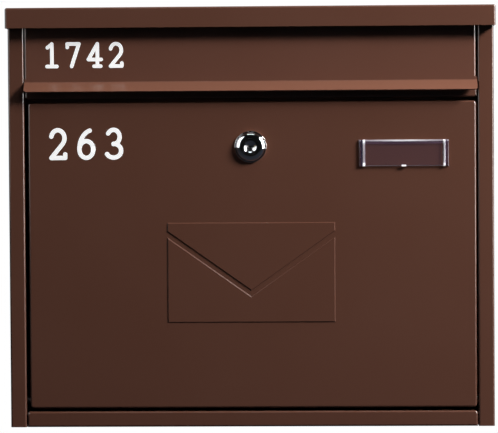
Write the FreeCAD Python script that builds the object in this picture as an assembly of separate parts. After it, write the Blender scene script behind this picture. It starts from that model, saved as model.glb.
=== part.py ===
import FreeCAD, Part
import math
import os

# Wall mounted post box of folded sheet steel, in millimetres.
# The origin is the middle of the four wall holes, on the back face. +X is to the right
# of someone facing the box, the front looks along -Y and +Z is up.

# Driving sizes of the case
roof_width = 360.0
total_height = 310.0
roof_depth = 100.0
case_depth = 91.0
sheet = 0.9
fold_radius = 0.6
pan_corner_radius = 2.2
roof_side_gap = 0.1
roof_seat_gap = 0.3
fascia_height = 15.0
front_flange = 11.8
jamb_depth = 14.0
holes_above_base = 155.0
wall_hole_spacing_x = 250.0
wall_hole_spacing_z = 200.0
wall_hole_radius = 3.25

# Driving sizes of the tray that closes the foot
tray_front_height = 11.5
tray_front_gap = 0.6
tray_hem = 7.0
tray_upstand = 12.0
tray_side_gap = 0.3

# Driving sizes of the door
door_height = 226.0
door_side_gap = 2.0
door_drift = 0.8
door_foot_gap = 2.5
door_head_gap = 2.6
door_return = 13.0
hinge_setback = 5.5
hinge_rise = 6.0
hinge_pin_radius = 1.6
hinge_pin_head_radius = 3.0
hinge_pin_head_height = 1.2
hinge_spacer_radius = 2.3
running_gap = 0.06
seat_gap = 0.3

# Driving sizes of the pressed envelope
envelope_width = 124.0
envelope_height = 74.0
envelope_drop = 88.8
envelope_side = 6.6
envelope_fold_depth = 50.6
envelope_channel = 4.1
emboss_height = 0.6
emboss_slope = 0.7

# Driving sizes of the rail between flap and door
rail_front_height = 14.4
rail_end_gap = 0.4
rail_end_depth = 8.0
rail_lip = 11.5
rail_sill_slope = 3.0
rail_sill_depth = 24.0

# Driving sizes of the letter flap and its rod
flap_end_gap = 0.85
flap_drift = 0.45
flap_top_gap = 5.1
flap_overlap = 1.7
flap_return = 10.5
flap_ear_gap = 0.8
flap_lip_gap = 0.4
flap_lip_length = 10.8
flap_lip_angle = 40.0
flap_lip_corner = 2.4
flap_back_gap = 0.3
rod_radius = 1.5
rod_setback = 7.0
rod_drop = 3.2
rod_cap_radius = 4.0
rod_cap_length = 3.0

# Driving sizes of the lock
lock_drop = 33.0
lock_head_radius = 11.6
lock_head_height = 4.2
lock_brim_height = 1.5
lock_brim_width = 1.0
lock_crest_radius = 7.5
lock_mouth_radius = 6.6
lock_groove_depth = 1.8
lock_dome_steps = 2
lock_barrel_radius = 9.4
lock_flat_half = 8.2
lock_hole_gap = 0.2
plug_radius = 6.0
plug_set_back = 1.2
plug_dish_radius = 4.4
plug_dish_depth = 1.2
keyway_width = 1.5
keyway_length = 7.6
keyway_depth = 11.5
wafer_count = 4
wafer_thickness = 0.6
wafer_pitch = 2.1
wafer_first = 4.0
wafer_width = 5.2
wafer_gap = 0.05
wafer_inset = 1.0
wafer_slot_inset = 0.7
wafer_rib = 1.2
cam_thickness = 2.0
cam_width = 14.0
cam_hook = 8.0
cam_gap = 0.6
tang_half = 3.4
tang_gap = 0.05
tang_short = 0.1
cam_corner = 4.2
nut_across_flats = 24.0
nut_height = 4.0
thread_gap = 0.05
lock_washer_width = 25.0
lock_washer_height = 0.9
cam_washer_width = 10.0
cam_washer_height = 0.8
cam_screw_radius = 2.2
cam_screw_length = 7.0
cam_screw_head_radius = 4.2
cam_screw_head_height = 2.6
cam_screw_cross = 5.0
cam_screw_slot = 1.0
cam_screw_slot_depth = 1.3
cam_screw_tip_gap = 0.5

# Driving sizes of the name plate holder
plate_width = 65.9
plate_height = 19.6
plate_depth = 2.0
plate_side_gap = 19.5
plate_drop = 38.3
plate_card_depth = 0.8
plate_window_drop = 0.35
plate_rim = 1.4
plate_edge = 0.6
plate_rib_radius = 1.1
plate_rib_rise = 0.5
plate_rib_inset = 3.1
plate_rib_clear = 0.6
plate_card_inset = 4.4
plate_tab_width = 4.0
plate_tab_height = 1.3
plate_tab_rise = 0.4
plate_pin_radius = 1.5
plate_pin_length = 5.0
plate_pin_gap = 0.15
plate_pin_root = 0.5
push_nut_half = 4.0
push_nut_height = 0.8
push_nut_gap = 0.05

# Places that follow from the driving sizes
bend = fold_radius + sheet
front = -case_depth
base = -holes_above_base
top = base + total_height
case_width = roof_width - 2 * (sheet + roof_side_gap)
opening_half = case_width / 2 - front_flange
jamb_back = front + jamb_depth
door_half = opening_half - door_side_gap
door_base = base + tray_front_height + door_foot_gap
door_top = door_base + door_height
hinge_y = front + hinge_setback
hinge_z = door_base + hinge_rise
rail_base = door_top + door_head_gap
rail_top = rail_base + rail_front_height
rail_front = front + sheet + flap_back_gap
rail_half = opening_half - rail_end_gap
flap_half = opening_half - flap_end_gap
flap_top = top - sheet - flap_top_gap
flap_fold = rail_top - flap_overlap
rod_y = front + rod_setback
rod_z = flap_top - rod_drop
lock_z = door_top - lock_drop
barrel_back = jamb_back + sheet + cam_gap
door_back = front + sheet
cam_back = barrel_back + cam_thickness
plate_z = door_top - plate_drop
plate_x = door_half - plate_side_gap - plate_width / 2
plug_face = front - lock_head_height + plug_set_back
ear_base = rail_top + flap_ear_gap


def vector(x, y, z):
    return FreeCAD.Vector(x, y, z)


def from_above(x, y):
    """Puts a section that is seen from above into space."""
    return vector(x, y, 0)


def from_side(y, z):
    """Puts a section that is seen from the side into space."""
    return vector(0, y, z)


def from_front(x, z):
    """Puts a section that is seen from the front into space."""
    return vector(x, 0, z)


def direction(a, b):
    length = math.hypot(b[0] - a[0], b[1] - a[1])
    return (b[0] - a[0]) / length, (b[1] - a[1]) / length


def beside(points, distance, closed=False):
    """Corners of the line that runs beside an outline, to its left by the distance."""
    count = len(points)
    result = []
    for i, (u, v) in enumerate(points):
        before = direction(points[i - 1], points[i]) if closed or i > 0 else None
        after = direction(points[i], points[(i + 1) % count]) if closed or i < count - 1 else None
        first = before or after
        second = after or before
        scale = distance / (1 + first[0] * second[0] + first[1] * second[1])
        result.append((u - (first[1] + second[1]) * scale, v + (first[0] + second[0]) * scale))
    return result


def folded_section(points, to_space):
    """Section of a folded sheet: the points are the corners of its shown face, the metal
    lies to their left, and every fold is a pair of arcs about one centre."""
    middle = beside(points, sheet / 2)
    radius = fold_radius + sheet / 2
    sides = []
    for offset in (sheet / 2, -sheet / 2):
        edges = []
        at = None
        for i, corner in enumerate(middle):
            ahead = direction(corner, middle[i + 1]) if i < len(middle) - 1 else None
            behind = direction(middle[i - 1], corner) if i > 0 else None
            if behind is None or ahead is None:
                run = ahead or behind
                point = (corner[0] - run[1] * offset, corner[1] + run[0] * offset)
                if at is not None:
                    edges.append(Part.makeLine(to_space(*at), to_space(*point)))
                at = point
                continue
            turn = math.atan2(behind[0] * ahead[1] - behind[1] * ahead[0],
                              behind[0] * ahead[0] + behind[1] * ahead[1])
            setback = radius * math.tan(abs(turn) / 2)
            hand = math.copysign(1, turn)
            start = (corner[0] - behind[0] * setback - behind[1] * offset,
                     corner[1] - behind[1] * setback + behind[0] * offset)
            end = (corner[0] + ahead[0] * setback - ahead[1] * offset,
                   corner[1] + ahead[1] * setback + ahead[0] * offset)
            centre = (corner[0] - behind[0] * setback - behind[1] * hand * radius,
                      corner[1] - behind[1] * setback + behind[0] * hand * radius)
            out = direction(centre, corner)
            reach = radius - hand * offset
            bulge = (centre[0] + out[0] * reach, centre[1] + out[1] * reach)
            edges.append(Part.makeLine(to_space(*at), to_space(*start)))
            edges.append(Part.Arc(to_space(*start), to_space(*bulge), to_space(*end)).toShape())
            at = end
        sides.append(edges)
    left, right = sides
    cap_start = Part.makeLine(left[0].Vertexes[0].Point, right[0].Vertexes[0].Point)
    cap_end = Part.makeLine(left[-1].Vertexes[-1].Point, right[-1].Vertexes[-1].Point)
    wire = Part.Wire(Part.__sortEdges__(left + [cap_end] + right + [cap_start]))
    return Part.Face(wire)


def upright(shape):
    """The same solid with its faces turned outwards."""
    if shape.Volume < 0:
        shape.reverse()
    return shape


def folded(points, to_space, start, run):
    """A folded sheet: its section, moved to its start and drawn out along the run."""
    section = folded_section(points, to_space)
    section.translate(start)
    return upright(section.extrude(run))


def box(x0, x1, y0, y1, z0, z1):
    return Part.makeBox(x1 - x0, y1 - y0, z1 - z0, vector(x0, y0, z0))


def rod_along_x(radius, x0, x1, y, z):
    return Part.makeCylinder(radius, x1 - x0, vector(x0, y, z), vector(1, 0, 0))


def rod_along_y(radius, y0, y1, x, z):
    return Part.makeCylinder(radius, y1 - y0, vector(x, y0, z), vector(0, 1, 0))


def edges_along(shape, axis, test):
    """Straight edges of a shape that run along one axis and whose middle passes the test."""
    found = []
    for edge in shape.Edges:
        if not isinstance(edge.Curve, Part.Line):
            continue
        tangent = edge.tangentAt(edge.FirstParameter)
        if abs(abs(getattr(tangent, axis)) - 1) < 1e-6 and test(edge.CenterOfMass):
            found.append(edge)
    return found


def mirrored(shape):
    """The same piece on the other side of the box."""
    return shape.mirror(vector(0, 0, 0), vector(1, 0, 0))


def front_edges(shape, face):
    """Edges of a block that lie in its front plane."""
    return [edge for edge in shape.Edges
            if abs(edge.BoundBox.YMax - face) < 1e-4 and abs(edge.BoundBox.YMin - face) < 1e-4]


def pan(x0, x1, face, back, z0, z1, rounded_above):
    """Folded pan with closed corners: a block with rounded front edges, less the one inside it.
    Its corners are round in front view where they lie above a height."""
    outside = box(x0, x1, face, back, z0, z1)
    corners = edges_along(outside, "y", lambda c: c.z > rounded_above)
    outside = outside.makeFillet(pan_corner_radius, corners)
    outside = outside.makeFillet(bend, front_edges(outside, face))
    inside = box(x0 + sheet, x1 - sheet, face + sheet, back + sheet, z0 + sheet, z1 - sheet)
    inside = inside.makeFillet(fold_radius, front_edges(inside, face + sheet))
    return outside.cut(inside)


def end_return(end, face, back, z0, z1):
    """End of a sheet folded back: an L seen from above, drawn out upwards."""
    lap = 2 * bend
    points = [(end, back), (end, face), (end + lap, face)]
    if end > 0:
        points = [(end - lap, face), (end, face), (end, back)]
    return folded(points, from_above, vector(0, 0, z0), vector(0, 0, z1 - z0))


def make_casing_wrap():
    """Back, sides and front flanges with their jambs, folded from one sheet."""
    half = case_width / 2
    section = [
        (opening_half, jamb_back), (opening_half, front), (half, front), (half, 0),
        (-half, 0), (-half, front), (-opening_half, front), (-opening_half, jamb_back),
    ]
    height = total_height - sheet - roof_seat_gap
    wrap = folded(section, from_above, vector(0, 0, base), vector(0, 0, height))
    for x in (-wall_hole_spacing_x / 2, wall_hole_spacing_x / 2):
        for z in (-wall_hole_spacing_z / 2, wall_hole_spacing_z / 2):
            wrap = wrap.cut(rod_along_y(wall_hole_radius, -2 * sheet, sheet, x, z))
    reach = opening_half + 2 * sheet
    wrap = wrap.cut(rod_along_x(rod_radius, -reach, reach, rod_y, rod_z))
    return wrap.cut(rod_along_x(hinge_pin_radius, -reach, reach, hinge_y, hinge_z))


def make_bottom_tray():
    """Floor with a low upstand at the sides and back and the front strip under the door."""
    front_half = opening_half - tray_front_gap
    floor_half = case_width / 2 - sheet - tray_side_gap
    back = -sheet - tray_side_gap
    strip_back = front + tray_hem
    strip_top = base + tray_front_height
    tray = pan(-front_half, front_half, front, strip_back, base, strip_top, strip_top - sheet)
    floor = [(strip_back - sheet, base), (back, base), (back, base + tray_upstand)]
    floor_end = front_half - pan_corner_radius
    tray = tray.fuse(folded(floor, from_side, vector(-floor_end, 0, 0), vector(2 * floor_end, 0, 0)))
    wing = [(floor_end - bend, base), (floor_half, base), (floor_half, base + tray_upstand)]
    wing_front = jamb_back + tray_side_gap
    wing_back = back - sheet - fold_radius
    side = folded(wing, from_front, vector(0, wing_front, 0), vector(0, wing_back - wing_front, 0))
    return tray.fuse([side, mirrored(side)]).removeSplitter()


def make_roof_lid():
    """Shallow cap with a front fascia and two side flanges, closed at its corners."""
    half = roof_width / 2
    outside = box(-half, half, -roof_depth, 0, top - fascia_height, top)
    upper = edges_along(outside, "x", lambda c: c.z > top - sheet / 2 and c.y < -sheet)
    upper += edges_along(outside, "y", lambda c: c.z > top - sheet / 2)
    upper += edges_along(outside, "z", lambda c: c.y < -sheet)
    outside = outside.makeFillet(bend, upper)
    inside = box(-half + sheet, half - sheet, -roof_depth + sheet, sheet,
                 top - fascia_height - sheet, top - sheet)
    lower = edges_along(inside, "x", lambda c: c.z > top - 2 * sheet and c.y < -sheet)
    lower += edges_along(inside, "y", lambda c: c.z > top - 2 * sheet)
    inside = inside.makeFillet(fold_radius, lower)
    return outside.cut(inside)


def make_cross_rail():
    """Rail under the letter slot: sill, front face, step over the door and its stop lip."""
    stop_low = rail_base - rail_lip
    section = [
        (front + rail_sill_depth, rail_top - rail_sill_slope), (rail_front, rail_top),
        (rail_front, rail_base), (jamb_back, rail_base), (jamb_back, stop_low),
    ]
    main_half = rail_half - bend
    rail = folded(section, from_side, vector(-main_half, 0, 0), vector(2 * main_half, 0, 0))
    tab_end = case_width / 2 - sheet - tray_side_gap
    tab = box(main_half - bend, tab_end, jamb_back, jamb_back + sheet, stop_low, rail_base - bend)
    end = end_return(rail_half, rail_front, rail_front + rail_end_depth, rail_base + bend, rail_top - bend)
    return rail.fuse([tab, mirrored(tab), end, mirrored(end)]).removeSplitter()


def make_letter_flap():
    """Flap with returns at its top and ends and a slanting lip to lift it by."""
    slant = math.radians(flap_lip_angle)
    lip_end = (front - flap_lip_length * math.cos(slant),
               flap_fold - flap_lip_length * math.sin(slant))
    left = -flap_half - flap_drift
    right = flap_half - flap_drift
    back = front + flap_return
    flap = pan(left, right, front, back, ear_base - flap_return, flap_top, ear_base)
    flap = flap.cut(box(left - sheet, right + sheet, front - sheet, back + sheet,
                        ear_base - 2 * flap_return, ear_base))
    lip_half = opening_half - flap_lip_gap
    lip = folded([(front, ear_base), (front, flap_fold), lip_end], from_side,
                 vector(-lip_half, 0, 0), vector(2 * lip_half, 0, 0))
    corners = [edge for edge in lip.Edges
               if isinstance(edge.Curve, Part.Line) and edge.Length < 1.5 * sheet
               and edge.CenterOfMass.y < lip_end[0] + sheet]
    flap = flap.fuse(lip.makeFillet(flap_lip_corner, corners)).removeSplitter()
    bore = rod_along_x(rod_radius + running_gap, left - sheet, right + sheet, rod_y, rod_z)
    return flap.cut(bore)


def make_flap_hinge_rod():
    """Steel wire that the flap swings on, held in both jambs."""
    reach = opening_half + sheet + rod_cap_length / 2
    return rod_along_x(rod_radius, -reach, reach, rod_y, rod_z)


def make_flap_rod_caps():
    """Push-on caps on the ends of the rod, behind the front flanges."""
    seat = opening_half + sheet
    cap = rod_along_x(rod_cap_radius, seat, seat + rod_cap_length, rod_y, rod_z)
    cap = cap.cut(rod_along_x(rod_radius, seat - sheet, seat + rod_cap_length / 2, rod_y, rod_z))
    cap = cap.cut(box(seat, seat + rod_cap_length, front - sheet, door_back + sheet / 2,
                      rod_z - 2 * rod_cap_radius, rod_z + 2 * rod_cap_radius))
    return Part.Compound([cap, mirrored(cap)])


def raised_panel(outline):
    """Raised field of the pressing: its outline at the door's face, drawn in by the slope."""
    crest = beside(outline, emboss_slope, closed=True)
    wires = []
    for corners, y in ((outline, front), (crest, front - emboss_height)):
        loop = [vector(x, y, z) for x, z in corners]
        wires.append(Part.makePolygon(loop + loop[:1]))
    return upright(Part.makeLoft(wires, True, True))


def envelope_outlines():
    """The envelope's flap and its body, each as corners in order against the clock."""
    half = envelope_width / 2
    high = door_top - envelope_drop
    low = high - envelope_height
    shoulder = high - envelope_side
    tip = high - envelope_fold_depth
    flap = [(-half, shoulder), (0, tip), (half, shoulder), (half, high), (-half, high)]
    body = [(-half, low), (half, low), (half, shoulder - envelope_channel),
            (0, tip - envelope_channel), (-half, shoulder - envelope_channel)]
    return flap, body


def door_hole_shapes():
    """Everything that is punched out of the door: lock, name plate pins and hinge pins."""
    lock = rod_along_y(lock_barrel_radius + lock_hole_gap, front - sheet, door_back + sheet, 0, lock_z)
    flat = lock_flat_half + lock_hole_gap
    lock = lock.common(box(-2 * flat, 2 * flat, front - sheet, door_back + sheet,
                           lock_z - flat, lock_z + flat))
    shapes = [lock]
    pin_hole = plate_pin_radius + plate_pin_gap
    for x in name_plate_pins():
        shapes.append(rod_along_y(pin_hole, front - sheet, door_back + sheet, x, plate_z))
    pins = rod_along_x(hinge_pin_radius + running_gap, -opening_half, opening_half, hinge_y, hinge_z)
    return shapes + [pins]


def name_plate_pins():
    offset = plate_width / 2 - plate_rib_inset
    return plate_x - offset, plate_x + offset


def make_door_panel():
    """Door pan with four returns, rounded edges and the pressed envelope."""
    left = door_drift - door_half
    right = door_drift + door_half
    door = pan(left, right, front, front + door_return, door_base, door_top, door_base - sheet)
    for outline in envelope_outlines():
        door = door.fuse(raised_panel(outline))
    for outline in envelope_outlines():
        hollow = raised_panel(outline)
        hollow.translate(vector(0, sheet, 0))
        door = door.cut(hollow)
    for hole in door_hole_shapes():
        door = door.cut(hole)
    return door.removeSplitter()


def make_door_hinge_pin(door_end):
    """Hinge pin on the right, riveted into the jamb, with a head inside the door's return."""
    head_outer = door_end - sheet - seat_gap
    head_inner = head_outer - hinge_pin_head_height
    pin = rod_along_x(hinge_pin_radius, head_outer, opening_half + 2 * sheet, hinge_y, hinge_z)
    head = rod_along_x(hinge_pin_head_radius, head_inner, head_outer, hinge_y, hinge_z)
    return pin.fuse(head).removeSplitter()


def make_door_hinge_spacer(door_end):
    """Washer on the right pin, which fills the gap between the door and the jamb."""
    inner = door_end + seat_gap
    radius = hinge_pin_radius + running_gap
    spacer = rod_along_x(hinge_spacer_radius, inner, opening_half, hinge_y, hinge_z)
    return spacer.cut(rod_along_x(radius, inner - sheet, opening_half + sheet, hinge_y, hinge_z))


def lock_head_face():
    """Half section of the lock's head: brim, stepped dome, crest and the mouth round the plug."""
    bore = plug_radius + running_gap
    brim_inner = lock_head_radius - lock_brim_width
    run = brim_inner - lock_crest_radius
    drop = lock_head_height - lock_brim_height
    dome = (run ** 2 + drop ** 2) / (2 * drop)
    turns = [math.asin(run / dome) * i / lock_dome_steps for i in range(lock_dome_steps + 1)]
    points = [(lock_crest_radius + dome * math.sin(turn),
               dome * (1 - math.cos(turn)) - lock_head_height) for turn in turns]
    groove = lock_groove_depth - lock_head_height
    points += [
        (lock_head_radius, -lock_brim_height), (lock_head_radius, 0), (bore, 0),
        (bore, groove), (lock_mouth_radius, groove), (lock_mouth_radius, -lock_head_height),
    ]
    corners = [vector(x, y, 0) for x, y in points]
    return Part.Face(Part.makePolygon(corners + corners[:1]))


def make_lock_housing():
    """Turned and plated lock case: a domed head and a barrel with two flats."""
    head = upright(lock_head_face().revolve(vector(0, 0, 0), vector(0, 1, 0), 360))
    head.translate(vector(0, front, lock_z))
    barrel = rod_along_y(lock_barrel_radius, front, barrel_back - seat_gap, 0, lock_z)
    barrel = barrel.common(box(-2 * lock_barrel_radius, 2 * lock_barrel_radius, front, 0,
                               lock_z - lock_flat_half, lock_z + lock_flat_half))
    barrel = barrel.cut(rod_along_y(plug_radius + running_gap, front - sheet, 0, 0, lock_z))
    return head.fuse(barrel).removeSplitter()


def wafer_places():
    start = plug_face + wafer_first
    return [start + i * wafer_pitch for i in range(wafer_count)]


def make_lock_plug():
    """Plug with a sunk front, a keyway that lies level, wafer slots and a square tang."""
    plug = rod_along_y(plug_radius, plug_face, barrel_back, 0, lock_z)
    plug = plug.cut(rod_along_y(plug_dish_radius, plug_face - sheet, plug_face + plug_dish_depth,
                                0, lock_z))
    tang = box(-tang_half, tang_half, barrel_back, cam_back - tang_short,
               lock_z - tang_half, lock_z + tang_half)
    plug = plug.fuse(tang)
    plug = plug.cut(box(-keyway_length / 2, keyway_length / 2, plug_face - sheet, plug_face + keyway_depth,
                        lock_z - keyway_width / 2, lock_z + keyway_width / 2))
    reach = plug_radius - wafer_slot_inset
    for y in wafer_places():
        slot = box(-reach, reach, y - wafer_gap, y + wafer_thickness + wafer_gap,
                   lock_z - wafer_width / 2, lock_z + wafer_width / 2)
        plug = plug.cut(slot)
    bore = rod_along_y(cam_screw_radius, cam_back - cam_screw_length, cam_back + sheet, 0, lock_z)
    return plug.cut(bore).removeSplitter()


def make_lock_wafers():
    """Brass wafers across the keyway, each with a window for the key."""
    wafers = []
    reach = plug_radius - wafer_inset
    half = wafer_width / 2 - wafer_gap
    for y in wafer_places():
        wafer = box(-reach, reach, y, y + wafer_thickness, lock_z - half, lock_z + half)
        window = box(wafer_rib - reach, reach - wafer_rib, y - sheet, y + sheet + wafer_thickness,
                     lock_z - keyway_width / 2, lock_z + keyway_width / 2)
        wafers.append(wafer.cut(window))
    return Part.Compound(wafers)


def make_lock_washer():
    """Square washer between the door and the nut of the lock."""
    half = lock_washer_width / 2
    washer = box(-half, half, door_back, door_back + lock_washer_height, lock_z - half, lock_z + half)
    bore = rod_along_y(lock_barrel_radius + lock_hole_gap, front, 0, 0, lock_z)
    return washer.cut(bore)


def make_lock_nut():
    """Thin hexagon nut that clamps the lock to the door."""
    y = door_back + lock_washer_height
    reach = nut_across_flats / math.sqrt(3)
    turns = [math.radians(60 * i) for i in range(6)]
    corners = [vector(reach * math.cos(a), y, lock_z + reach * math.sin(a)) for a in turns]
    hexagon = Part.Face(Part.makePolygon(corners + corners[:1]))
    nut = upright(hexagon.extrude(vector(0, nut_height, 0)))
    bore = lock_barrel_radius + thread_gap
    return nut.cut(rod_along_y(bore, y - sheet, y + nut_height + sheet, 0, lock_z))


def make_lock_cam():
    """Flat cam on the tang of the plug; turned up, it catches behind the rail's lip."""
    reach = rail_base - rail_lip + cam_hook - lock_z
    half = cam_width / 2
    bar = box(0, reach, barrel_back, cam_back, lock_z - half, lock_z + half)
    bar = bar.makeFillet(cam_corner, edges_along(bar, "y", lambda c: c.x > reach - sheet))
    cam = bar.fuse(rod_along_y(half, barrel_back, cam_back, 0, lock_z)).removeSplitter()
    hole = tang_half + tang_gap
    return cam.cut(box(-hole, hole, barrel_back - sheet, cam_back + sheet, lock_z - hole, lock_z + hole))


def make_cam_washer():
    """Square washer under the head of the cam's screw."""
    half = cam_washer_width / 2
    washer = box(-half, half, cam_back, cam_back + cam_washer_height, lock_z - half, lock_z + half)
    bore = cam_screw_radius + running_gap
    return washer.cut(rod_along_y(bore, front, cam_back + 2 * cam_washer_height, 0, lock_z))


def make_cam_screw():
    """Screw with a crossed slot that holds the cam on the plug."""
    seat = cam_back + cam_washer_height
    tip = cam_back - cam_screw_length + cam_screw_tip_gap
    shank = rod_along_y(cam_screw_radius - thread_gap, tip, seat, 0, lock_z)
    end = seat + cam_screw_head_height
    head = rod_along_y(cam_screw_head_radius, seat, end, 0, lock_z)
    screw = shank.fuse(head).removeSplitter()
    arm = cam_screw_cross / 2
    slot = cam_screw_slot / 2
    for x, z in ((arm, slot), (slot, arm)):
        screw = screw.cut(box(-x, x, end - cam_screw_slot_depth, end + sheet, lock_z - z, lock_z + z))
    return screw


def make_nameplate_window():
    """Clear moulded cover over a card: window, rim, a rounded rib at each end, pins and a tab."""
    left = plate_x - plate_width / 2
    right = plate_x + plate_width / 2
    low = plate_z - plate_height / 2
    high = plate_z + plate_height / 2
    face = front - plate_depth
    cover = box(left, right, face, front, low, high)
    cover = cover.makeChamfer(plate_edge, front_edges(cover, face))
    inner_left = left + plate_card_inset
    inner_right = right - plate_card_inset
    cover = cover.cut(box(inner_left, inner_right, face - sheet, face + plate_window_drop,
                          low + plate_rim, high - plate_rim))
    cover = cover.cut(box(inner_left, inner_right, front - plate_card_depth, front + sheet,
                          low + plate_rim, high - plate_rim))
    tab_half = plate_tab_width / 2
    parts = [box(plate_x - tab_half, plate_x + tab_half, face - plate_tab_rise, face + plate_edge,
                 low, low + plate_tab_height)]
    rib_y = face + plate_rib_radius - plate_rib_rise
    rib_low = low + plate_rib_clear
    for x in name_plate_pins():
        parts.append(Part.makeCylinder(plate_rib_radius, high - plate_rib_clear - rib_low,
                                       vector(x, rib_y, rib_low), vector(0, 0, 1)))
        parts.append(rod_along_y(plate_pin_radius, front - plate_pin_root,
                                 front + plate_pin_length, x, plate_z))
    return cover.fuse(parts).removeSplitter()


def make_nameplate_push_nuts():
    """Square spring nuts pushed over the pins of the name plate behind the door."""
    nuts = []
    bore = plate_pin_radius + push_nut_gap
    for x in name_plate_pins():
        nut = box(x - push_nut_half, x + push_nut_half, door_back, door_back + push_nut_height,
                  plate_z - push_nut_half, plate_z + push_nut_half)
        nuts.append(nut.cut(rod_along_y(bore, front, 0, x, plate_z)))
    return Part.Compound(nuts)


def export(name, shape):
    os.makedirs("parts", exist_ok=True)
    shape.exportStep(os.path.join("parts", name + ".step"))
    print(name, len(shape.Solids), shape.isValid(), round(shape.Volume, 1))


right_end = door_half + door_drift
left_end = door_half - door_drift
spacers = [make_door_hinge_spacer(right_end), mirrored(make_door_hinge_spacer(left_end))]
export("casing_wrap", make_casing_wrap())
export("bottom_tray", make_bottom_tray())
export("roof_lid", make_roof_lid())
export("cross_rail", make_cross_rail())
export("letter_flap", make_letter_flap())
export("flap_hinge_rod", make_flap_hinge_rod())
export("flap_rod_caps", make_flap_rod_caps())
export("door_panel", make_door_panel())
export("door_hinge_pin_right", make_door_hinge_pin(right_end))
export("door_hinge_pin_left", mirrored(make_door_hinge_pin(left_end)))
export("door_hinge_spacers", Part.Compound(spacers))
export("lock_housing", make_lock_housing())
export("lock_washer", make_lock_washer())
export("lock_nut", make_lock_nut())
export("lock_plug", make_lock_plug())
export("lock_wafers", make_lock_wafers())
export("lock_cam", make_lock_cam())
export("cam_washer", make_cam_washer())
export("cam_screw", make_cam_screw())
export("nameplate_window", make_nameplate_window())
export("nameplate_push_nuts", make_nameplate_push_nuts())
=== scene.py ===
import bmesh
import bpy
import math
import numpy as np
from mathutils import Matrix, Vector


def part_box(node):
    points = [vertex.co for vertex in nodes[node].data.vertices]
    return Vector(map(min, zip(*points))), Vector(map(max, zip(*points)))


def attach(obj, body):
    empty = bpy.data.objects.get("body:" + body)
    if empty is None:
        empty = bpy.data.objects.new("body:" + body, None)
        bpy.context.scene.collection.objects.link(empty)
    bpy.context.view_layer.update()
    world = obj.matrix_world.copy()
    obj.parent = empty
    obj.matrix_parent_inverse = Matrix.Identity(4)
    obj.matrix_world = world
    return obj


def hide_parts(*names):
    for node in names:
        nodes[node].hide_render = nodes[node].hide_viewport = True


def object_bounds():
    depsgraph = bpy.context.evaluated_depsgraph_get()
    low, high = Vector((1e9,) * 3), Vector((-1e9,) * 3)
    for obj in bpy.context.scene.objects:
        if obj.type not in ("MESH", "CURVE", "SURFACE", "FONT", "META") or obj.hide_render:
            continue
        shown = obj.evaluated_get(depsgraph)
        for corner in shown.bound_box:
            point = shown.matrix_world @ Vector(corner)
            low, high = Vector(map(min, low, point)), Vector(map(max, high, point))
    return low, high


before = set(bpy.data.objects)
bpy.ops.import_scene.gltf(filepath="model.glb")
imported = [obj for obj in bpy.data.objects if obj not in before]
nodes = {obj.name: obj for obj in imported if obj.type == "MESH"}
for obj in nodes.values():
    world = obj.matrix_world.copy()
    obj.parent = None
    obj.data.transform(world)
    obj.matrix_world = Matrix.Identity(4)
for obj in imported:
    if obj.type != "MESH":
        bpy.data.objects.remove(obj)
cad_low, cad_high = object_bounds()

# The view
# The photograph was taken from about two metres with a long lens, a little from above and
# from the right, and the camera was tipped by under half a degree. All lengths are in metres.
scene = bpy.context.scene
scene.view_settings.view_transform = "Standard"
front_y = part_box("casing_wrap")[0][1]
view_distance = 2.0
view_width = 0.36731
view_rise = math.radians(2.0)
view_swing = math.radians(1.77)
view_roll = math.radians(0.37)
view_middle = np.array([-0.00103, front_y, 0.00050])
camera_data = bpy.data.cameras.new("photo_camera")
camera_data.sensor_width = 36.0
camera_data.lens = camera_data.sensor_width * view_distance / view_width
camera_data.dof.use_dof = False
camera = bpy.data.objects.new("photo_camera", camera_data)
outward = np.array([math.sin(view_swing) * math.cos(view_rise),
                    -math.cos(view_swing) * math.cos(view_rise), math.sin(view_rise)])
camera.location = view_middle + view_distance * outward
camera.rotation_euler = (math.pi / 2 - view_rise, view_roll, view_swing)
scene.collection.objects.link(camera)
scene.camera = camera


# The painted sheet
# Roof, case, rail, tray, flap and door are steel sheet under one semi-gloss brown powder
# coat. Powder flows as it is baked, and leaves a faint orange peel and a slightly uneven tone.
paint_brown = (0.1137, 0.0466, 0.0300, 1.0)
cloud_scale = 14.0
cloud_range = (0.3, 0.7)
grain_scale = 1900.0
grain_tone = 0.10
grain_height = 0.25
peel_depth = 0.000010


def texture_group(name, inputs, outputs):
    """An empty node group with its inputs as (name, kind, value) and outputs as (name, kind)."""
    group = bpy.data.node_groups.new(name, "ShaderNodeTree")
    for label, kind, value in inputs:
        socket = group.interface.new_socket(name=label, in_out="INPUT", socket_type=kind)
        socket.default_value = value
    for label, kind in outputs:
        group.interface.new_socket(name=label, in_out="OUTPUT", socket_type=kind)
    return group, group.nodes.new("NodeGroupInput"), group.nodes.new("NodeGroupOutput")


def noise(tree, place, scale, detail=2.0, roughness=0.5):
    """A noise texture that reads a place and gives values about one half."""
    node = tree.nodes.new("ShaderNodeTexNoise")
    node.inputs["Detail"].default_value = detail
    node.inputs["Roughness"].default_value = roughness
    tree.links.new(place, node.inputs["Vector"])
    if isinstance(scale, (int, float)):
        node.inputs["Scale"].default_value = scale
    else:
        tree.links.new(scale, node.inputs["Scale"])
    return node.outputs["Fac"]


def remap(tree, value, low, high, out_low, out_high):
    """A value carried from one range to another and held inside it."""
    node = tree.nodes.new("ShaderNodeMapRange")
    node.inputs["From Min"].default_value = low
    node.inputs["From Max"].default_value = high
    for label, bound in (("To Min", out_low), ("To Max", out_high)):
        if isinstance(bound, (int, float)):
            node.inputs[label].default_value = bound
        else:
            tree.links.new(bound, node.inputs[label])
    tree.links.new(value, node.inputs["Value"])
    return node.outputs["Result"]


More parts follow.
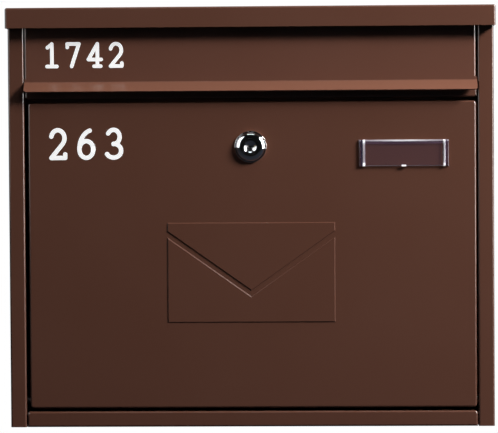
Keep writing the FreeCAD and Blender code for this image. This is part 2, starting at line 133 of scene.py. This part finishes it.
def arithmetic(tree, operation, first, second):
    """One sum on two values, each a number or the output of a node."""
    node = tree.nodes.new("ShaderNodeMath")
    node.operation = operation
    for socket, value in zip(node.inputs, (first, second)):
        if isinstance(value, (int, float)):
            socket.default_value = value
        else:
            tree.links.new(value, socket)
    return node.outputs["Value"]


def scaled_color(tree, color, factor):
    """A colour made lighter or darker by a factor that changes over the surface."""
    node = tree.nodes.new("ShaderNodeVectorMath")
    node.operation = "SCALE"
    tree.links.new(color, node.inputs[0])
    tree.links.new(factor, node.inputs["Scale"])
    return node.outputs["Vector"]


def powder_coat_group():
    """Colour, roughness and height of baked powder coat: cloudy tone, fine grain and peel."""
    group, given, made = texture_group(
        "powder_coat_surface",
        [("Vector", "NodeSocketVector", (0, 0, 0)), ("Paint", "NodeSocketColor", paint_brown),
         ("Cloud", "NodeSocketFloat", 0.05), ("Gloss Low", "NodeSocketFloat", 0.20),
         ("Gloss High", "NodeSocketFloat", 0.26), ("Peel Scale", "NodeSocketFloat", 420.0)],
        [("Color", "NodeSocketColor"), ("Roughness", "NodeSocketFloat"), ("Height", "NodeSocketFloat")])
    place = given.outputs["Vector"]
    cloud = noise(group, place, cloud_scale, detail=3.0)
    grain = noise(group, place, grain_scale, detail=1.0)
    peel = noise(group, place, given.outputs["Peel Scale"], detail=2.0, roughness=0.4)
    spread = arithmetic(group, "MULTIPLY", arithmetic(group, "SUBTRACT", cloud, 0.5), given.outputs["Cloud"])
    fine = arithmetic(group, "MULTIPLY", arithmetic(group, "SUBTRACT", grain, 0.5), grain_tone)
    factor = arithmetic(group, "ADD", arithmetic(group, "ADD", spread, fine), 1.0)
    group.links.new(scaled_color(group, given.outputs["Paint"], factor), made.inputs["Color"])
    gloss = remap(group, cloud, *cloud_range, given.outputs["Gloss Low"], given.outputs["Gloss High"])
    group.links.new(gloss, made.inputs["Roughness"])
    group.links.new(arithmetic(group, "ADD", peel, arithmetic(group, "MULTIPLY", grain, grain_height)),
                    made.inputs["Height"])
    return group


def new_material(name):
    """A material with a bare Principled shader, and the tree and shader to build it on."""
    material = bpy.data.materials.new(name)
    material.use_nodes = True
    tree = material.node_tree
    tree.nodes.clear()
    out = tree.nodes.new("ShaderNodeOutputMaterial")
    shader = tree.nodes.new("ShaderNodeBsdfPrincipled")
    tree.links.new(shader.outputs["BSDF"], out.inputs["Surface"])
    return material, tree, shader


def object_place(tree, shift=(0.0, 0.0, 0.0)):
    """Object coordinates in metres, moved for one piece."""
    coordinate = tree.nodes.new("ShaderNodeTexCoord")
    mapping = tree.nodes.new("ShaderNodeMapping")
    mapping.inputs["Location"].default_value = shift
    tree.links.new(coordinate.outputs["Object"], mapping.inputs["Vector"])
    return mapping.outputs["Vector"]


def use_group(tree, group, **values):
    """A group placed in a material, with its inputs given as numbers, colours or outputs."""
    node = tree.nodes.new("ShaderNodeGroup")
    node.node_tree = group
    for label, value in values.items():
        socket = node.inputs[label.replace("_", " ")]
        if isinstance(value, bpy.types.NodeSocket):
            tree.links.new(value, socket)
        else:
            socket.default_value = value
    return node


def bump(tree, shader, height, distance):
    """Feeds a height to the shader's normal as a bump of that depth."""
    node = tree.nodes.new("ShaderNodeBump")
    node.inputs["Distance"].default_value = distance
    node.inputs["Strength"].default_value = 1.0
    tree.links.new(height, node.inputs["Height"])
    tree.links.new(node.outputs["Normal"], shader.inputs["Normal"])


def dress(node, material):
    """Gives a carried-over piece its finish in every slot."""
    slots = nodes[node].data.materials
    for i in range(len(slots)):
        slots[i] = material
    if not slots:
        slots.append(material)


powder_coat = powder_coat_group()


def painted(name, shift, peel_scale):
    """Brown powder coat for one sheet, with its own patch of cloud and peel."""
    material, tree, shader = new_material(name)
    surface = use_group(tree, powder_coat, Vector=object_place(tree, shift), Peel_Scale=peel_scale)
    tree.links.new(surface.outputs["Color"], shader.inputs["Base Color"])
    tree.links.new(surface.outputs["Roughness"], shader.inputs["Roughness"])
    shader.inputs["IOR"].default_value = 1.5
    shader.inputs["Specular IOR Level"].default_value = 0.5
    shader.inputs["Coat Weight"].default_value = 0.3
    shader.inputs["Coat Roughness"].default_value = 0.16
    bump(tree, shader, surface.outputs["Height"], peel_depth)
    return material, tree, surface


for sheet, finish, shift, peel_scale in (
        ("casing_wrap", "case_powder_coat", (0.0, 0.0, 0.0), 420.0),
        ("bottom_tray", "tray_powder_coat", (0.7, 0.2, 0.0), 440.0),
        ("cross_rail", "rail_powder_coat", (1.3, 0.1, 0.4), 440.0),
        ("roof_lid", "roof_powder_coat", (2.1, 0.5, 0.2), 400.0)):
    dress(sheet, painted(finish, shift, peel_scale)[0])


# The letter flap
# A sheet panel under the roof with a turned-out lip to lift it by. It hangs on a steel wire
# through its two ears. Its coat is painted lighter than the other sheets, and the lip lighter still, as
# painted light.
flap_lit_brown = (0.131, 0.0538, 0.0356, 1.0)
lip_lit_brown = (0.178, 0.0745, 0.047, 1.0)
lip_fold_z = 0.1003
lip_blur = 0.0008


def mixed(tree, share, first, second):
    """A colour between two, by a share."""
    node = tree.nodes.new("ShaderNodeMix")
    node.data_type = "RGBA"
    for label, color in (("A", first), ("B", second)):
        if isinstance(color, tuple):
            node.inputs[label].default_value = color
        else:
            tree.links.new(color, node.inputs[label])
    tree.links.new(share, node.inputs["Factor"])
    return node.outputs["Result"]


flap_coat, tree, surface = painted("flap_powder_coat", (3.2, 0.3, 0.9), 430.0)
level = tree.nodes.new("ShaderNodeSeparateXYZ")
tree.links.new(object_place(tree), level.inputs["Vector"])
# Painted light: below the fold the upturned lip takes the lighter brown.
above_fold = remap(tree, level.outputs["Z"], lip_fold_z - lip_blur, lip_fold_z + lip_blur, 0.0, 1.0)
tree.links.new(mixed(tree, above_fold, lip_lit_brown, flap_lit_brown), surface.inputs["Paint"])
dress("letter_flap", flap_coat)


# The door
# A sheet pan with four returns, pressed with a plain envelope. It turns on two riveted pins
# at its foot and is painted after it is pressed.
dress("door_panel", painted("door_powder_coat", (4.4, 0.8, 0.1), 410.0)[0])


# The white numbers
# House numbers cut from thin white vinyl, one set on the flap and one on the door. Each
# stroke is a flat ribbon with round ends, pressed down on the paint.
vinyl_height = 0.00012
vinyl_edge = 0.04
vinyl_step = 0.06


def straight(start, end, steps=12):
    """Points on the straight line from start to end, evenly spaced."""
    share = np.linspace(0.0, 1.0, steps)[:, None]
    return np.asarray(start) * (1 - share) + np.asarray(end) * share


def bowed(centre, radii, first, last, steps=40):
    """Points on an ellipse about a centre, from one angle in degrees to another."""
    angle = np.radians(np.linspace(first, last, steps))
    return np.asarray(centre) + np.stack([radii[0] * np.cos(angle), radii[1] * np.sin(angle)], axis=1)


# Strokes of each figure in a cell 0.62 wide and 1 high, with its foot on zero
figure_strokes = {
    "1": [straight((0.32, 0.0), (0.32, 1.0)), straight((0.32, 1.0), (0.12, 0.84)),
          straight((0.10, 0.0), (0.54, 0.0))],
    "2": [np.concatenate([bowed((0.30, 0.71), (0.24, 0.29), 168, -32), straight((0.46, 0.49), (0.06, 0.0))]),
          straight((0.06, 0.0), (0.56, 0.0)), straight((0.56, 0.0), (0.56, 0.13))],
    "3": [bowed((0.28, 0.745), (0.22, 0.255), 150, -90), bowed((0.28, 0.25), (0.27, 0.25), 90, -152)],
    "4": [straight((0.43, 1.0), (0.03, 0.30)), straight((0.03, 0.30), (0.60, 0.30)),
          straight((0.43, 1.0), (0.43, 0.0)), straight((0.28, 0.0), (0.58, 0.0))],
    "6": [bowed((0.31, 0.30), (0.25, 0.30), 0, 360, 60), bowed((0.56, 0.30), (0.50, 0.70), 180, 104)],
    "7": [straight((0.05, 1.0), (0.57, 1.0)), straight((0.05, 1.0), (0.05, 0.85)),
          straight((0.57, 1.0), (0.24, 0.0))],
}


def ribbon(path, half_width, face_y, height):
    """A flat ribbon along a path: at each point the profile is a low step, half_width to each
    side, that narrows to the ends as a half circle. Gives points and faces."""
    run = np.gradient(path, axis=0)
    length = np.concatenate([[0.0], np.cumsum(np.linalg.norm(np.diff(path, axis=0), axis=1))])
    head = run[0] / np.linalg.norm(run[0])
    tail = run[-1] / np.linalg.norm(run[-1])
    round_steps = half_width * np.sin(np.linspace(0.0, math.pi / 2, 8))[:0:-1]
    path = np.concatenate([path[0] - round_steps[:, None] * head, path,
                           path[-1] + round_steps[::-1, None] * tail])
    beyond = np.concatenate([round_steps, np.zeros(len(length)), round_steps[::-1]])
    reach = np.sqrt(np.maximum(half_width ** 2 - beyond ** 2, 0.0))
    run = np.gradient(path, axis=0)
    run /= np.linalg.norm(run, axis=1)[:, None]
    across = np.stack([-run[:, 1], run[:, 0]], axis=1)
    side = np.array([-1.0, vinyl_edge - 1.0, 1.0 - vinyl_edge, 1.0])
    rise = np.array([0.0, 1.0, 1.0, 0.0])
    flat = path[:, None, :] + across[:, None, :] * (reach[:, None] * side[None, :])[:, :, None]
    depth = np.broadcast_to(face_y - height * rise, flat.shape[:2])
    points = np.stack([flat[:, :, 0], depth, flat[:, :, 1]], axis=2).reshape(-1, 3)
    rings = len(path)
    ring, corner = np.meshgrid(np.arange(rings - 1), np.arange(4), indexing="ij")
    after = (corner + 1) % 4
    faces = np.stack([ring * 4 + corner, (ring + 1) * 4 + corner,
                      (ring + 1) * 4 + after, ring * 4 + after], axis=2).reshape(-1, 4)
    return points, faces


def surface_object(name, points, faces):
    """A mesh object at the origin from arrays of points and four-cornered faces."""
    mesh = bpy.data.meshes.new(name)
    mesh.from_pydata(points.tolist(), [], faces.tolist())
    mesh.validate()
    mesh.update()
    piece = bpy.data.objects.new(name, mesh)
    scene.collection.objects.link(piece)
    return piece


def closed_and_outward(piece, reach=1e-7):
    """Joins doubled points and turns all faces outwards."""
    work = bmesh.new()
    work.from_mesh(piece.data)
    bmesh.ops.remove_doubles(work, verts=work.verts, dist=reach)
    bmesh.ops.recalc_face_normals(work, faces=work.faces)
    work.to_mesh(piece.data)
    work.free()


def number(name, figures, left, foot, height, pitch, half_width, face_y, body):
    """A row of figures on one face, riding on the piece it is stuck to. Each stroke lies a little
    higher than the one before, so that no two share a plane where they cross."""
    points = []
    faces = []
    count = 0
    layer = 0
    for place, figure in enumerate(figures):
        for stroke in figure_strokes[figure]:
            path = stroke * height + np.array([left + place * pitch, foot])
            lift = vinyl_height * (1 + vinyl_step * layer)
            made, quads = ribbon(path, half_width, face_y, lift)
            points.append(made)
            faces.append(quads + count)
            count += len(made)
            layer += 1
    piece = surface_object(name, np.concatenate(points), np.concatenate(faces))
    closed_and_outward(piece)
    piece.data.materials.append(vinyl)
    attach(piece, body)


def fine_marks_group():
    """Faint marks of use on a smooth surface, as a mask and as a gloss between two bounds."""
    group, given, made = texture_group(
        "fine_marks",
        [("Vector", "NodeSocketVector", (0, 0, 0)), ("Scale", "NodeSocketFloat", 600.0),
         ("Gloss Low", "NodeSocketFloat", 0.2), ("Gloss High", "NodeSocketFloat", 0.4)],
        [("Mask", "NodeSocketFloat"), ("Roughness", "NodeSocketFloat")])
    marks = noise(group, given.outputs["Vector"], given.outputs["Scale"], detail=4.0, roughness=0.6)
    group.links.new(marks, made.inputs["Mask"])
    gloss = remap(group, marks, 0.35, 0.65, given.outputs["Gloss Low"], given.outputs["Gloss High"])
    group.links.new(gloss, made.inputs["Roughness"])
    return group


fine_marks = fine_marks_group()


def marked(tree, shader, scale, low, high):
    """Fine marks in a shader's gloss. Gives their mask."""
    marks = use_group(tree, fine_marks, Vector=object_place(tree), Scale=scale,
                      Gloss_Low=low, Gloss_High=high)
    tree.links.new(marks.outputs["Roughness"], shader.inputs["Roughness"])
    return marks.outputs["Mask"]


chalk_white = (0.86, 0.86, 0.86, 1.0)
clean_white = (0.97, 0.97, 0.96, 1.0)
vinyl_painted_glow = 0.36
vinyl, tree, shader = new_material("white_vinyl")
chalk = marked(tree, shader, 900.0, 0.32, 0.45)
tree.links.new(mixed(tree, chalk, chalk_white, clean_white), shader.inputs["Base Color"])
# Painted glow: the white vinyl glows faintly, though it is no lamp, so that it reads brighter.
shader.inputs["Emission Color"].default_value = (1.0, 1.0, 1.0, 1.0)
shader.inputs["Emission Strength"].default_value = vinyl_painted_glow

number("flap_number", "1742", left=-0.1515, foot=0.1120, height=0.0165, pitch=0.0159, half_width=0.00135,
       face_y=front_y, body="flap")
number("door_number", "263", left=-0.1485, foot=0.0445, height=0.0205, pitch=0.0208, half_width=0.00162,
       face_y=front_y, body="door")


# The lock
# A cam lock with a head of plated zinc, a turning plug with its keyway level, brass wafers,
# and a zinc plated nut, washer, cam and screw behind the door.
def metal(name, color, low, high, scale):
    """Bare or plated metal with faint handling marks in its gloss. Gives also its tree, shader and marks."""
    material, tree, shader = new_material(name)
    shader.inputs["Base Color"].default_value = color
    shader.inputs["Metallic"].default_value = 1.0
    return material, tree, shader, marked(tree, shader, scale, low, high)


lock_low, lock_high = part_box("lock_housing")
lock_x, lock_z = (lock_low[0] + lock_high[0]) / 2, (lock_low[2] + lock_high[2]) / 2
head_radius = (lock_high[0] - lock_low[0]) / 2
head_height = front_y - lock_low[1]
brim_height = 0.0015
brim_width = 0.0010
mouth_radius = 0.0066
mouth_depth = 0.0018
bore_radius = 0.00606
barrel_radius = 0.0094
barrel_flat = 0.0082
edge_round = 0.0002
dome_steps = 40
edge_steps = 6
crease = math.radians(38)


def quarter(centre, radii, first, last, steps):
    """Points on an ellipse in the half section, from one angle in degrees to another."""
    angle = np.radians(np.linspace(first, last, steps))
    return np.stack([centre[0] + radii[0] * np.cos(angle), centre[1] + radii[1] * np.sin(angle)], axis=1)


def lock_section():
    """Half section of the case as radius and depth: bore, mouth, a dome that falls from the
    crest as a quarter ellipse, the brim with its rounded edge, and the barrel."""
    brim_inner = head_radius - brim_width
    crest = -head_height
    dome = quarter((mouth_radius, -brim_height), (brim_inner - mouth_radius, head_height - brim_height),
                   -90, 0, dome_steps)
    brim = quarter((head_radius - edge_round, edge_round - brim_height), (edge_round, edge_round),
                   -90, 0, edge_steps)
    bore = np.array([(bore_radius, lock_high[1] - front_y), (bore_radius, crest + mouth_depth),
                     (mouth_radius, crest + mouth_depth)])
    barrel = np.array([(head_radius, 0.0), (barrel_radius, 0.0), (barrel_radius, lock_high[1] - front_y)])
    return np.concatenate([bore, dome, brim, barrel])


def turned(section, flat_from, turns=144):
    """A closed section carried round the lock's axis. Past the last flat_from points the
    radius is also held inside two flats: the flat's distance over the sine of the turn."""
    angle = np.linspace(0.0, 2 * math.pi, turns, endpoint=False)[:, None]
    radius = np.broadcast_to(section[:, 0], (turns, len(section))).copy()
    flat = barrel_flat / np.maximum(np.abs(np.sin(angle)), 1e-6)
    radius[:, flat_from:] = np.minimum(radius[:, flat_from:], flat)
    depth = np.broadcast_to(section[:, 1], radius.shape)
    points = np.stack([lock_x + radius * np.cos(angle), front_y + depth,
                       lock_z + radius * np.sin(angle)], axis=2).reshape(-1, 3)
    count = len(section)
    ring, place = np.meshgrid(np.arange(turns), np.arange(count), indexing="ij")
    after = (ring + 1) % turns
    beyond = (place + 1) % count
    faces = np.stack([ring * count + place, ring * count + beyond,
                      after * count + beyond, after * count + place], axis=2).reshape(-1, 4)
    return points, faces


def smoothed(piece, sharpest):
    """Soft shading over gentle bends, with a crease where two faces meet at more than an angle."""
    piece.data.polygons.foreach_set("use_smooth", np.ones(len(piece.data.polygons), dtype=bool))
    piece.data.set_sharp_from_angle(angle=sharpest)


plating = {}
for finish, color, low, high, scale, depth in (
        ("lock_chrome", (0.78, 0.79, 0.81, 1.0), 0.05, 0.09, 500.0, 0.000003),
        ("zinc_plating", (0.62, 0.63, 0.64, 1.0), 0.24, 0.42, 700.0, 0.000012),
        ("wafer_brass", (0.70, 0.50, 0.20, 1.0), 0.20, 0.35, 600.0, 0.000008)):
    plating[finish], tree, shader, marks = metal(finish, color, low, high, scale)
    bump(tree, shader, marks, depth)

# The plug's face is a shallow bowl: its height grows with the square of the distance from the axis
worn_chrome, tree, shader, marks = metal("plug_chrome", (0.62, 0.63, 0.66, 1.0), 0.10, 0.17, 700.0)
dish_radius = 0.0044
dish_depth = 0.0014
wear_depth = 0.000006
on_plug = tree.nodes.new("ShaderNodeSeparateXYZ")
tree.links.new(object_place(tree, (-lock_x, 0.0, -lock_z)), on_plug.inputs["Vector"])
square = arithmetic(tree, "ADD", arithmetic(tree, "MULTIPLY", on_plug.outputs["X"], on_plug.outputs["X"]),
                    arithmetic(tree, "MULTIPLY", on_plug.outputs["Z"], on_plug.outputs["Z"]))
dish = remap(tree, square, 0.0, dish_radius ** 2, 0.0, dish_depth)
in_metres = 1.0
bump(tree, shader, arithmetic(tree, "ADD", dish, arithmetic(tree, "MULTIPLY", marks, wear_depth)), in_metres)

section = lock_section()
lock_case = surface_object("lock_case", *turned(section, len(section) - 2))
closed_and_outward(lock_case)
smoothed(lock_case, crease)
lock_case.data.materials.append(plating["lock_chrome"])
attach(lock_case, "door")
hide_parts("lock_housing")
dress("lock_plug", worn_chrome)
dress("lock_wafers", plating["wafer_brass"])
for hardware in ("lock_washer", "lock_nut", "lock_cam", "cam_washer", "cam_screw", "nameplate_push_nuts",
                 "flap_hinge_rod", "door_hinge_pin_right", "door_hinge_pin_left"):
    dress(hardware, plating["zinc_plating"])


# The hinge plastics
# Black moulded caps, pressed on the ends of the flap's wire to hold it, and black moulded
# spacers on the door's pins, which keep the door in the middle of its opening.
black_plastic, tree, shader = new_material("black_plastic")
shader.inputs["Base Color"].default_value = (0.012, 0.012, 0.013, 1.0)
bump(tree, shader, marked(tree, shader, 1500.0, 0.42, 0.58), 0.000015)
dress("flap_rod_caps", black_plastic)
dress("door_hinge_spacers", black_plastic)


# The name plate
# A clear polystyrene cover, moulded in one piece with its pins. Its rim, side edges, tab and two
# ribs are painted pale as painted highlights, with painted shade beside the ribs and a faint painted glow.
plate_low, plate_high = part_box("nameplate_window")
plate_middle = (np.asarray(plate_low) + np.asarray(plate_high)) / 2
plate_half_width = (plate_high[0] - plate_low[0]) / 2
plate_half_height = (plate_high[2] - plate_low[2]) / 2
rib_inset = 0.0031
rim_width = 0.0013
tab_half = 0.0017
mask_blur = 0.00012
left_rib_span = (-0.0005, 0.0015)
right_rib_span = (-0.0011, 0.0006)
left_shade_span = (-0.0019, -0.0003)
right_shade_span = (0.0007, 0.0016)
side_width = 0.0005
rib_end = 0.0036
rib_tip = 0.0022
far = 1.0
# The window's faint purple tint is painted reflection.
window_reflection_tint = (0.34, 0.20, 0.30, 1.0)
highlight_tint = (0.86, 0.85, 0.89, 1.0)
shade_blue = (0.030, 0.034, 0.100, 1.0)
no_light = (0.0, 0.0, 0.0, 1.0)
rim_glow = 0.45


def band(tree, value, low, high, share):
    """A share where a value lies between two bounds, with soft ends."""
    risen = remap(tree, value, low - mask_blur, low + mask_blur, 0.0, share)
    fallen = remap(tree, value, high - mask_blur, high + mask_blur, share, 0.0)
    return arithmetic(tree, "MINIMUM", risen, fallen)


def strongest(tree, *shares):
    """The largest of several shares."""
    result = shares[0]
    for share in shares[1:]:
        result = arithmetic(tree, "MAXIMUM", result, share)
    return result


clear, tree, shader = new_material("clear_plastic")
on_plate = tree.nodes.new("ShaderNodeSeparateXYZ")
tree.links.new(object_place(tree, tuple(-plate_middle)), on_plate.inputs["Vector"])
along = on_plate.outputs["X"]
height = on_plate.outputs["Z"]
from_left = arithmetic(tree, "ADD", along, plate_half_width - rib_inset)
from_right = arithmetic(tree, "SUBTRACT", along, plate_half_width - rib_inset)
# Painted highlight: the ribs are paler towards their ends, the left one darker in its middle.
to_end = remap(tree, arithmetic(tree, "ABSOLUTE", height, 0.0), plate_half_height - rib_end,
               plate_half_height - rib_tip, 0.0, 1.0)
left_rib = arithmetic(tree, "MULTIPLY", band(tree, from_left, *left_rib_span, 1.0),
                      remap(tree, to_end, 0.0, 1.0, 0.50, 1.0))
right_rib = arithmetic(tree, "MULTIPLY", band(tree, from_right, *right_rib_span, 1.0),
                       remap(tree, to_end, 0.0, 1.0, 0.85, 1.0))
ribs = strongest(tree, left_rib, right_rib)
# Painted highlight: a pale top rim, palest in its middle, a paler foot rim, pale side edges and a white tab
# at the foot.
top_rim = arithmetic(tree, "MULTIPLY", band(tree, height, plate_half_height - rim_width, far, 0.85),
                     remap(tree, arithmetic(tree, "ABSOLUTE", along, 0.0), 0.006, 0.026, 1.0, 0.6))
foot_rim = band(tree, height, -far, 0.6 * rim_width - plate_half_height, 0.5)
sides = strongest(tree, band(tree, along, -far, side_width - plate_half_width, 0.8),
                  band(tree, along, plate_half_width - side_width, far, 0.35))
tab = arithmetic(tree, "MINIMUM", band(tree, along, -tab_half, tab_half, 1.0),
                 band(tree, height, -far, rim_width - plate_half_height, 1.0))
highlight_share = strongest(tree, ribs, top_rim, foot_rim, sides, tab)
# Painted shade: dark blue bands beside each rib and under the top rim.
shade = strongest(tree, band(tree, from_left, *left_shade_span, 0.9),
                  band(tree, from_right, *right_shade_span, 0.8),
                  band(tree, height, plate_half_height - 2.2 * rim_width, plate_half_height - rim_width, 0.5))
tint = mixed(tree, highlight_share, window_reflection_tint, highlight_tint)
tree.links.new(mixed(tree, shade, tint, shade_blue), shader.inputs["Base Color"])
# Painted glow: the ribs' ends and the tab glow, though they are no lamp, as painted highlights.
glint = remap(tree, strongest(tree, arithmetic(tree, "MULTIPLY", ribs, to_end), tab), 0.5, 1.0, 0.0, 1.0)
tree.links.new(mixed(tree, glint, no_light, highlight_tint), shader.inputs["Emission Color"])
shader.inputs["Emission Strength"].default_value = rim_glow
marked(tree, shader, 300.0, 0.06, 0.14)
shader.inputs["IOR"].default_value = 1.55
edge = tree.nodes.new("ShaderNodeLayerWeight")
edge.inputs["Blend"].default_value = 0.35
edge_on = remap(tree, edge.outputs["Facing"], 0.1, 0.9, 0.0, 0.55)
seen = strongest(tree, highlight_share, edge_on, arithmetic(tree, "MULTIPLY", shade, 0.6))
tree.links.new(remap(tree, seen, 0.0, 1.0, 0.05, 0.95), shader.inputs["Alpha"])
dress("nameplate_window", clear)


# Light and ground
# A strong soft box stands to the right and above, a narrow one grazes the front from over the
# roof, a weak one fills from the left and one lights the back. Three cards that only glossy
# faces show give the lock and the bends their bright lines. The floor is plain and pale, and
# lies low enough for the door to hang open over it. Away from the box it fades to pure white.
def lamp(name, position, target, size, power, card=False, mirrored=True):
    """A soft box that looks from its position to a target. A card is only seen in glossy faces,
    and a lamp that isn't mirrored isn't seen in them."""
    data = bpy.data.lights.new(name, "AREA")
    data.shape = "RECTANGLE"
    data.size, data.size_y = size
    data.energy = power
    item = bpy.data.objects.new(name, data)
    item.location = position
    aim = np.asarray(target) - np.asarray(position)
    yaw = math.atan2(aim[1], aim[0]) - math.pi / 2
    pitch = math.atan2(aim[2], math.hypot(aim[0], aim[1])) + math.pi / 2
    item.rotation_euler = (pitch, 0.0, yaw)
    item.visible_diffuse = not card
    item.visible_glossy = mirrored
    scene.collection.objects.link(item)


middle = (0.0, front_y, 0.0)
upper_middle = (0.0, front_y, 0.05)
lamp("key_lamp", (1.10, front_y - 0.60, 0.83), middle, (0.45, 0.30), 36.0)
lamp("roof_lamp", (0.30, front_y - 0.15, 0.98), upper_middle, (0.50, 0.12), 4.0, mirrored=False)
lamp("fill_lamp", (-0.95, front_y - 0.50, 0.48), upper_middle, (0.34, 0.40), 0.30)
lamp("left_card", (-0.90, front_y - 0.56, 0.42), upper_middle, (1.10, 0.90), 7.5, card=True)
lamp("right_card", (1.15, front_y - 0.66, 0.42), upper_middle, (0.46, 1.10), 30.0, card=True)
lamp("top_card", (0.0, front_y - 0.42, 0.78), upper_middle, (0.42, 0.12), 0.5, card=True)
lamp("back_lamp", (-1.0, 1.2, 0.7), (0.0, 0.0, 0.0), (0.6, 0.5), 22.0, mirrored=False)

floor_reach = 3.0
floor_drop = 0.10
white_shown = 0.93
fade_start = 0.50
fade_end = 0.80
floor_seen_in_metal = 0.01
floor_in_the_room = (0.010, 0.012, 0.018, 1.0)
floor_shown = (0.80, 0.80, 0.80, 1.0)
floor_corners = floor_reach * np.array([(-1.0, -1.0), (1.0, -1.0), (1.0, 1.0), (-1.0, 1.0)])
floor = surface_object("floor", np.column_stack([floor_corners, np.full(4, cad_low[2] - floor_drop)]),
                       np.array([[0, 1, 2, 3]]))
pale = bpy.data.materials.new("pale_floor")
pale.use_nodes = True
tree = pale.node_tree
tree.nodes.clear()
out = tree.nodes.new("ShaderNodeOutputMaterial")
matt_floor = tree.nodes.new("ShaderNodeBsdfDiffuse")
glow = tree.nodes.new("ShaderNodeEmission")
glow.inputs["Strength"].default_value = 1.0
ray = tree.nodes.new("ShaderNodeLightPath")
tree.links.new(mixed(tree, ray.outputs["Is Camera Ray"], floor_in_the_room, floor_shown),
               matt_floor.inputs["Color"])
shown_plainly = arithmetic(tree, "MAXIMUM", ray.outputs["Is Camera Ray"], ray.outputs["Is Transmission Ray"])
from_box = tree.nodes.new("ShaderNodeVectorMath")
from_box.operation = "LENGTH"
tree.links.new(object_place(tree), from_box.inputs[0])
white = remap(tree, from_box.outputs["Value"], fade_start, fade_end, white_shown, 1.0)
share = arithmetic(tree, "MAXIMUM", arithmetic(tree, "MULTIPLY", shown_plainly, white),
                   arithmetic(tree, "MULTIPLY", ray.outputs["Is Glossy Ray"], floor_seen_in_metal))
blend = tree.nodes.new("ShaderNodeMixShader")
tree.links.new(share, blend.inputs["Fac"])
tree.links.new(matt_floor.outputs["BSDF"], blend.inputs[1])
tree.links.new(glow.outputs["Emission"], blend.inputs[2])
tree.links.new(blend.outputs["Shader"], out.inputs["Surface"])
floor.data.materials.append(pale)

wall_rise = (0.05, 0.60)
wall_shown = 0.8
room_light = 0.005
world = bpy.data.worlds.new("studio")
world.use_nodes = True
scene.world = world
tree = world.node_tree
tree.nodes.clear()
out = tree.nodes.new("ShaderNodeOutputWorld")
sky = tree.nodes.new("ShaderNodeBackground")
ray = tree.nodes.new("ShaderNodeLightPath")
toward = tree.nodes.new("ShaderNodeTexCoord")
split = tree.nodes.new("ShaderNodeSeparateXYZ")
tree.links.new(toward.outputs["Generated"], split.inputs["Vector"])
behind = remap(tree, split.outputs["Y"], *wall_rise, 0.0, wall_shown)
mirrored_ray = arithmetic(tree, "MAXIMUM", ray.outputs["Is Glossy Ray"], ray.outputs["Is Transmission Ray"])
shown = arithmetic(tree, "MAXIMUM", ray.outputs["Is Camera Ray"],
                   arithmetic(tree, "MULTIPLY", mirrored_ray, behind))
tree.links.new(remap(tree, shown, 0.0, 1.0, room_light, 1.0), sky.inputs["Strength"])
tree.links.new(sky.outputs["Background"], out.inputs["Surface"])
sky.inputs["Color"].default_value = (1.0, 1.0, 1.0, 1.0)
